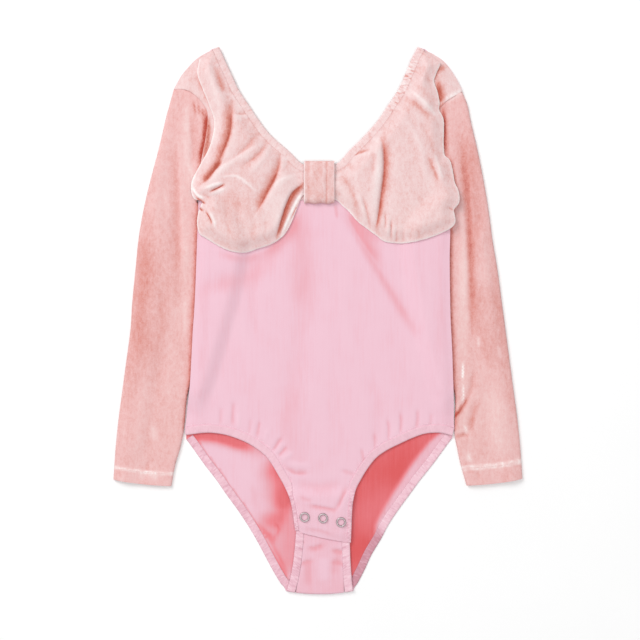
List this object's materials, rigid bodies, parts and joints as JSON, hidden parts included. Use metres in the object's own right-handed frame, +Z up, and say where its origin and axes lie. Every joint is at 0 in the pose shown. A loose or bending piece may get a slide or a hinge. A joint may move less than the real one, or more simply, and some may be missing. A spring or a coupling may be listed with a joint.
{
  "type": "long-sleeved bow-front leotard laid flat",
  "caption": "Child's long-sleeved leotard with a velvet bow across the chest, velvet sleeves and a snap crotch, laid flat on its back.",
  "frame": {"origin": "centre of the bounding box in plan, on the surface the garment lies on", "axes": "+X to the right as the picture shows it, +Y towards the shoulders, +Z up from the surface"},
  "size_m": [0.41, 0.5484, 0.0175],
  "materials": {
    "pink_jersey": "matte cotton jersey",
    "salmon_velvet": "velvet with a soft sheen",
    "peach_velvet": "light velvet with a soft sheen",
    "elastic_binding": "matte puckered elastic",
    "snap_metal": "polished nickel"
  },
  "bodies": {
    "root": {"back_body": "pink_jersey", "front_body": "pink_jersey", "front_yoke": "peach_velvet", "sleeve_left": "salmon_velvet", "sleeve_right": "salmon_velvet", "bow_lobe_left": "peach_velvet", "bow_lobe_right": "peach_velvet", "bow_band": "peach_velvet", "neck_binding_front": "peach_velvet", "neck_binding_back": "elastic_binding", "leg_binding_front_left": "elastic_binding", "leg_binding_front_right": "elastic_binding", "leg_binding_back_left": "elastic_binding", "leg_binding_back_right": "elastic_binding", "snap_ring_1": "snap_metal", "snap_stud_1": "snap_metal", "snap_ring_2": "snap_metal", "snap_stud_2": "snap_metal", "snap_ring_3": "snap_metal", "snap_stud_3": "snap_metal"}
  },
  "joints": []
}
